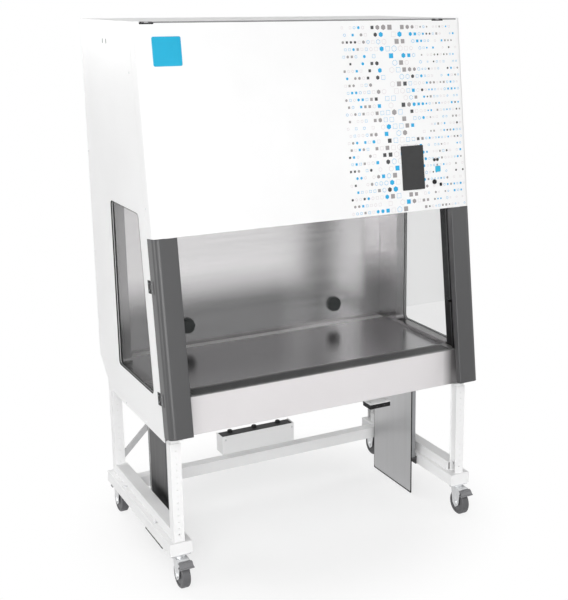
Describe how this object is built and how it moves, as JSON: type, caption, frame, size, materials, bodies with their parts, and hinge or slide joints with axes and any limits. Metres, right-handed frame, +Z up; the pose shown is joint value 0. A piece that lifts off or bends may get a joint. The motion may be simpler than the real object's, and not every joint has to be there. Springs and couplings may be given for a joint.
{
  "type": "biosafety cabinet",
  "caption": "Floor-standing class II biosafety cabinet with leaning sash front, hinged front cover, side windows and a lift stand on braked casters.",
  "frame": {"origin": "floor level, centre of the bounding box in plan", "axes": "+X to the user's right seen from the front, front face towards -Y, +Z up"},
  "size_m": [1.306, 0.8276, 2.015],
  "materials": {
    "white_paint": "smooth powder coat",
    "grey_paint": "smooth powder coat, dark grey",
    "stainless": "brushed, satin",
    "zinc": "zinc plated, dull",
    "alu": "anodised, satin",
    "black_plastic": "fine matt",
    "rubber_black": "matt",
    "tyre_grey": "matt",
    "glass": "clear",
    "display": "glossy dark display",
    "lamp": "opal diffuser",
    "filter": "pleated filter paper",
    "button_cyan": "glossy"
  },
  "bodies": {
    "stand": {"base_beams": "white_paint", "side_rails": "white_paint", "rear_cross_beam": "white_paint", "outer_posts": "white_paint", "beam_pads": "rubber_black", "column_lower": "alu", "column_feet": "black_plastic", "control_box_cover": "white_paint", "control_box_body": "black_plastic", "caster_mounts": "zinc"},
    "cabinet": {"inner_legs": "white_paint", "leg_braces": "grey_paint", "column_upper": "alu", "column_covers": "stainless", "cover_edging": "black_plastic", "handset_bracket": "white_paint", "handset_body": "black_plastic", "side_panels": "white_paint", "back_panel": "white_paint", "top_panel": "white_paint", "bottom_pan": "white_paint", "apron": "white_paint", "chamber_liner": "stainless", "side_windows": "glass", "window_seals": "rubber_black", "air_grilles": "stainless", "sash_rails": "alu", "socket_bodies": "black_plastic", "filter_shelf": "white_paint", "hepa_filters": "filter", "fan_housing": "zinc", "chamber_lamp": "lamp", "fascia_hinges": "black_plastic", "pillar_hinges": "black_plastic"},
    "sash": {"sash_glass": "glass", "sash_shoes": "black_plastic"},
    "work_tray": {"worktop": "stainless"},
    "lid_left": {"socket_lid_left": "black_plastic"},
    "lid_right": {"socket_lid_right": "black_plastic"},
    "up_key": {"handset_up": "black_plastic"},
    "down_key": {"handset_down": "black_plastic"},
    "fan": {"fan_wheel": "alu"},
    "front_cover": {"fascia": "white_paint", "display_panel": "display"},
    "power": {"power_button": "black_plastic"},
    "touch": {"touch_button": "button_cyan"},
    "left_pillar": {"pillar_left": "grey_paint"},
    "right_pillar": {"pillar_right": "grey_paint"},
    "swivel_front_left": {"caster_fork_front_left": "zinc"},
    "wheel_front_left": {"caster_wheel_front_left": "tyre_grey"},
    "pedal_front_left": {"brake_pedal_front_left": "black_plastic"},
    "swivel_front_right": {"caster_fork_front_right": "zinc"},
    "wheel_front_right": {"caster_wheel_front_right": "tyre_grey"},
    "pedal_front_right": {"brake_pedal_front_right": "black_plastic"},
    "swivel_rear_left": {"caster_fork_rear_left": "zinc"},
    "wheel_rear_left": {"caster_wheel_rear_left": "tyre_grey"},
    "pedal_rear_left": {"brake_pedal_rear_left": "black_plastic"},
    "swivel_rear_right": {"caster_fork_rear_right": "zinc"},
    "wheel_rear_right": {"caster_wheel_rear_right": "tyre_grey"},
    "pedal_rear_right": {"brake_pedal_rear_right": "black_plastic"}
  },
  "joints": [
    {"name": "stand_lift", "type": "slide", "parent": "stand", "child": "cabinet", "axis": [0, 0, 1], "range_m": [0, 0.25]},
    {"name": "swivel_front_left", "type": "hinge", "parent": "stand", "child": "swivel_front_left", "pos_m": [-0.6095, -0.326, 0.11], "axis": [0, 0, 1], "continuous": true},
    {"name": "wheel_front_left", "type": "hinge", "parent": "swivel_front_left", "child": "wheel_front_left", "pos_m": [-0.6095, -0.356, 0.05], "axis": [1, 0, 0], "continuous": true},
    {"name": "pedal_front_left", "type": "hinge", "parent": "swivel_front_left", "child": "pedal_front_left", "pos_m": [-0.6095, -0.38, 0.104], "axis": [1, 0, 0], "range_deg": [0, 20]},
    {"name": "swivel_front_right", "type": "hinge", "parent": "stand", "child": "swivel_front_right", "pos_m": [0.6095, -0.326, 0.11], "axis": [0, 0, 1], "continuous": true},
    {"name": "wheel_front_right", "type": "hinge", "parent": "swivel_front_right", "child": "wheel_front_right", "pos_m": [0.6095, -0.356, 0.05], "axis": [1, 0, 0], "continuous": true},
    {"name": "pedal_front_right", "type": "hinge", "parent": "swivel_front_right", "child": "pedal_front_right", "pos_m": [0.6095, -0.38, 0.104], "axis": [1, 0, 0], "range_deg": [0, 20]},
    {"name": "swivel_rear_left", "type": "hinge", "parent": "stand", "child": "swivel_rear_left", "pos_m": [-0.6095, 0.331, 0.11], "axis": [0, 0, 1], "continuous": true},
    {"name": "wheel_rear_left", "type": "hinge", "parent": "swivel_rear_left", "child": "wheel_rear_left", "pos_m": [-0.6095, 0.361, 0.05], "axis": [1, 0, 0], "continuous": true},
    {"name": "pedal_rear_left", "type": "hinge", "parent": "swivel_rear_left", "child": "pedal_rear_left", "pos_m": [-0.6095, 0.385, 0.104], "axis": [-1, 0, 0], "range_deg": [0, 20]},
    {"name": "swivel_rear_right", "type": "hinge", "parent": "stand", "child": "swivel_rear_right", "pos_m": [0.6095, 0.331, 0.11], "axis": [0, 0, 1], "continuous": true},
    {"name": "wheel_rear_right", "type": "hinge", "parent": "swivel_rear_right", "child": "wheel_rear_right", "pos_m": [0.6095, 0.361, 0.05], "axis": [1, 0, 0], "continuous": true},
    {"name": "pedal_rear_right", "type": "hinge", "parent": "swivel_rear_right", "child": "pedal_rear_right", "pos_m": [0.6095, 0.385, 0.104], "axis": [-1, 0, 0], "range_deg": [0, 20]},
    {"name": "sash_slide", "type": "slide", "parent": "cabinet", "child": "sash", "axis": [0, 0.1245, 0.9922], "range_m": [-0.19, 0.25]},
    {"name": "tray_lift", "type": "slide", "parent": "cabinet", "child": "work_tray", "axis": [0, 0, 1], "range_m": [0, 0.15]},
    {"name": "socket_lid_left", "type": "hinge", "parent": "cabinet", "child": "lid_left", "pos_m": [-0.315, 0.282, 0.81], "axis": [-1, 0, 0], "range_deg": [0, 100]},
    {"name": "socket_lid_right", "type": "hinge", "parent": "cabinet", "child": "lid_right", "pos_m": [0.366, 0.282, 0.81], "axis": [-1, 0, 0], "range_deg": [0, 100]},
    {"name": "up_key_press", "type": "slide", "parent": "cabinet", "child": "up_key", "axis": [0, 1, 0], "range_m": [0, 0.0015], "stiffness_N_per_m": 900, "springref_m": -0.001},
    {"name": "down_key_press", "type": "slide", "parent": "cabinet", "child": "down_key", "axis": [0, 1, 0], "range_m": [0, 0.0015], "stiffness_N_per_m": 900, "springref_m": -0.001},
    {"name": "fan_spin", "type": "hinge", "parent": "cabinet", "child": "fan", "pos_m": [0, 0.1, 1.6], "axis": [0, 0, 1], "continuous": true},
    {"name": "front_cover_hinge", "type": "hinge", "parent": "cabinet", "child": "front_cover", "pos_m": [0, -0.23, 2.012], "axis": [-1, 0, 0], "range_deg": [0, 60]},
    {"name": "power_press", "type": "slide", "parent": "front_cover", "child": "power", "axis": [0, 0.9922, -0.1245], "range_m": [0, 0.002], "stiffness_N_per_m": 600, "springref_m": -0.001},
    {"name": "touch_press", "type": "slide", "parent": "front_cover", "child": "touch", "axis": [0, 0.9922, -0.1245], "range_m": [0, 0.002], "stiffness_N_per_m": 600, "springref_m": -0.001},
    {"name": "left_pillar_hinge", "type": "hinge", "parent": "cabinet", "child": "left_pillar", "pos_m": [-0.6506, -0.27915, 1.11882], "axis": [0, -0.1245, -0.9922], "range_deg": [0, 100]},
    {"name": "right_pillar_hinge", "type": "hinge", "parent": "cabinet", "child": "right_pillar", "pos_m": [0.6506, -0.27915, 1.11882], "axis": [0, 0.1245, 0.9922], "range_deg": [0, 100]}
  ]
}
